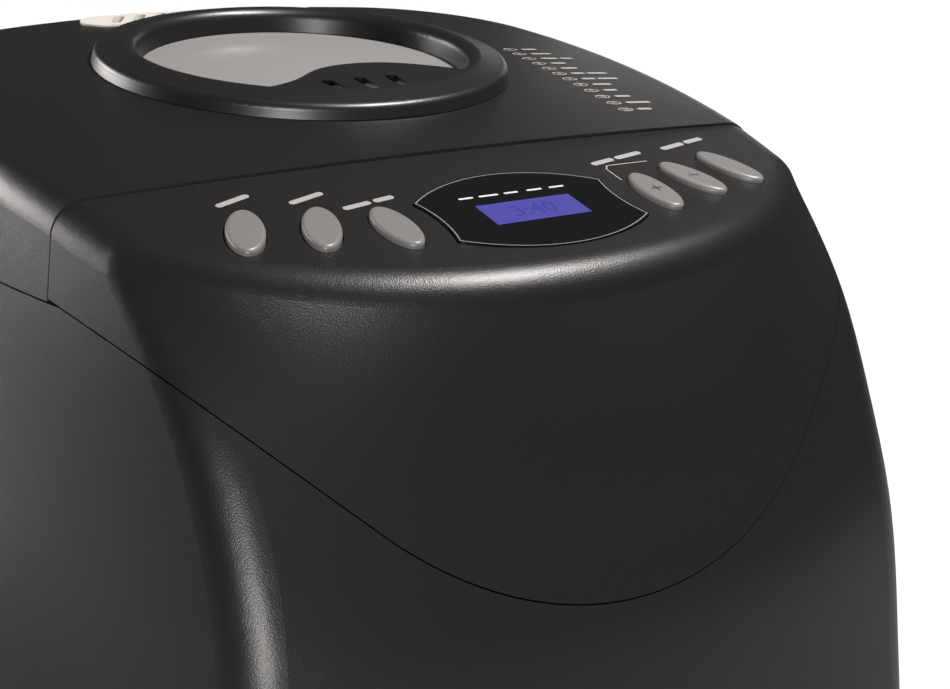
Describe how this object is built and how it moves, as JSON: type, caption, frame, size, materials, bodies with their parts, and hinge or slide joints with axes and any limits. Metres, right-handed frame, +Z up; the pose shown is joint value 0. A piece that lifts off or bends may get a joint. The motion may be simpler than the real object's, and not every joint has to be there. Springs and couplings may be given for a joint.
{
  "type": "bread machine",
  "caption": "Countertop bread machine with a scooped front, hinged lid with a round window, push buttons and display, baking chamber, removable pan and belt-driven kneading paddle.",
  "frame": {"origin": "middle of the bounding box in plan, at the table surface under the rubber feet", "axes": "+Z up; the control panel and front face -Y; +X is the object's left-to-right seen from the front"},
  "size_m": [0.319, 0.3777, 0.3021],
  "materials": {
    "casing": "fine matt texture",
    "grey_trim": "satin",
    "button_grey": "satin",
    "bezel": "satin",
    "lens": "gloss, dark",
    "lcd": "backlit liquid crystal panel",
    "window_glass": "clear tempered glass",
    "rubber": "matt",
    "screw_steel": "zinc plated",
    "sheet_steel": "galvanised sheet",
    "element": "oxidised sheath",
    "ceramic": "matt",
    "nonstick": "dark non-stick coating",
    "aluminium": "plain",
    "steel": "turned",
    "bronze": "oil-soaked sintered metal",
    "pulley_plastic": "moulded",
    "laminations": "stacked sheet",
    "copper": "enamelled wire",
    "fan_plastic": "moulded",
    "board_green": "circuit board",
    "board_tan": "paper laminate circuit board",
    "black_part": "moulded",
    "relay_blue": "moulded",
    "capacitor": "moulded can",
    "deck": "matt"
  },
  "bodies": {
    "machine": {"body_housing": "casing", "front_fascia": "casing", "hinge_pins": "steel", "top_deck": "deck", "base_plate": "sheet_steel", "base_screws": "screw_steel", "rubber_feet": "rubber", "cord_gland": "black_part", "display_lens": "lens", "lcd_module": "lcd", "display_board": "board_green", "tact_switches": "black_part", "buzzer": "black_part", "baking_chamber": "sheet_steel", "heating_element": "element", "element_bushes": "ceramic", "temperature_sensor": "steel", "pan_socket": "aluminium", "chassis_plate": "sheet_steel", "chassis_posts": "steel", "bearing_housing": "aluminium", "bearing_bushes": "bronze", "drive_belt": "rubber", "motor_mounts": "rubber", "motor_frame": "aluminium", "motor_stator": "laminations", "motor_windings": "copper", "board_posts": "black_part", "power_board": "board_tan", "transformer": "laminations", "relays": "relay_blue", "run_capacitor": "capacitor"},
    "lid": {"lid_cover": "casing", "lid_liner": "sheet_steel", "lid_screws": "screw_steel", "window_bezel": "bezel", "window_glass": "window_glass", "window_gasket": "rubber", "vent_insert": "grey_trim"},
    "pan": {"bread_pan": "nonstick", "pan_seal": "rubber"},
    "bail": {"pan_bail": "steel"},
    "mixer": {"pan_shaft": "steel", "pan_coupler": "aluminium", "kneading_paddle": "nonstick"},
    "drive": {"drive_shaft": "steel", "drive_coupling": "aluminium", "large_pulley": "pulley_plastic", "pulley_nut": "screw_steel"},
    "motor": {"motor_rotor": "steel", "motor_pulley": "aluminium", "motor_fan": "fan_plastic"},
    "button_cycle_cap": {"button_cycle": "button_grey"},
    "button_crust_cap": {"button_crust": "button_grey"},
    "button_loaf_size_cap": {"button_loaf_size": "button_grey"},
    "button_plus_cap": {"button_plus": "button_grey"},
    "button_minus_cap": {"button_minus": "button_grey"},
    "button_start_stop_cap": {"button_start_stop": "button_grey"}
  },
  "joints": [
    {"name": "lid_hinge", "type": "hinge", "parent": "machine", "child": "lid", "pos_m": [0, 0.184, 0.237], "axis": [-1, 0, 0], "range_deg": [0, 80]},
    {"name": "pan_lift", "type": "slide", "parent": "machine", "child": "pan", "axis": [0, 0, 1], "range_m": [0, 0.045]},
    {"name": "bail_hinge", "type": "hinge", "parent": "pan", "child": "bail", "pos_m": [0, 0.055, 0.1904], "axis": [1, 0, 0], "range_deg": [0, 180]},
    {"name": "mixer_spin", "type": "hinge", "parent": "pan", "child": "mixer", "pos_m": [0, 0.055, 0.08], "axis": [0, 0, 1], "continuous": true},
    {"name": "drive_spin", "type": "hinge", "parent": "machine", "child": "drive", "pos_m": [0, 0.055, 0.04], "axis": [0, 0, 1], "continuous": true},
    {"name": "motor_spin", "type": "hinge", "parent": "machine", "child": "motor", "pos_m": [-0.055, -0.098, 0.04], "axis": [0, 0, 1], "continuous": true},
    {"name": "button_cycle_press", "type": "slide", "parent": "machine", "child": "button_cycle_cap", "axis": [0.0541, 0.2419, -0.9688], "range_m": [0, 0.0012], "stiffness_N_per_m": 250},
    {"name": "button_crust_press", "type": "slide", "parent": "machine", "child": "button_crust_cap", "axis": [0.0414, 0.2419, -0.9694], "range_m": [0, 0.0012], "stiffness_N_per_m": 250},
    {"name": "button_loaf_size_press", "type": "slide", "parent": "machine", "child": "button_loaf_size_cap", "axis": [0.0288, 0.2419, -0.9699], "range_m": [0, 0.0012], "stiffness_N_per_m": 250},
    {"name": "button_plus_press", "type": "slide", "parent": "machine", "child": "button_plus_cap", "axis": [-0.0288, 0.2419, -0.9699], "range_m": [0, 0.0012], "stiffness_N_per_m": 250},
    {"name": "button_minus_press", "type": "slide", "parent": "machine", "child": "button_minus_cap", "axis": [-0.0414, 0.2419, -0.9694], "range_m": [0, 0.0012], "stiffness_N_per_m": 250},
    {"name": "button_start_stop_press", "type": "slide", "parent": "machine", "child": "button_start_stop_cap", "axis": [-0.0541, 0.2419, -0.9688], "range_m": [0, 0.0012], "stiffness_N_per_m": 250}
  ],
  "couplings": [
    {"joint": "drive_spin", "follows": "mixer_spin", "ratio": 1},
    {"joint": "motor_spin", "follows": "mixer_spin", "ratio": 5.5}
  ]
}
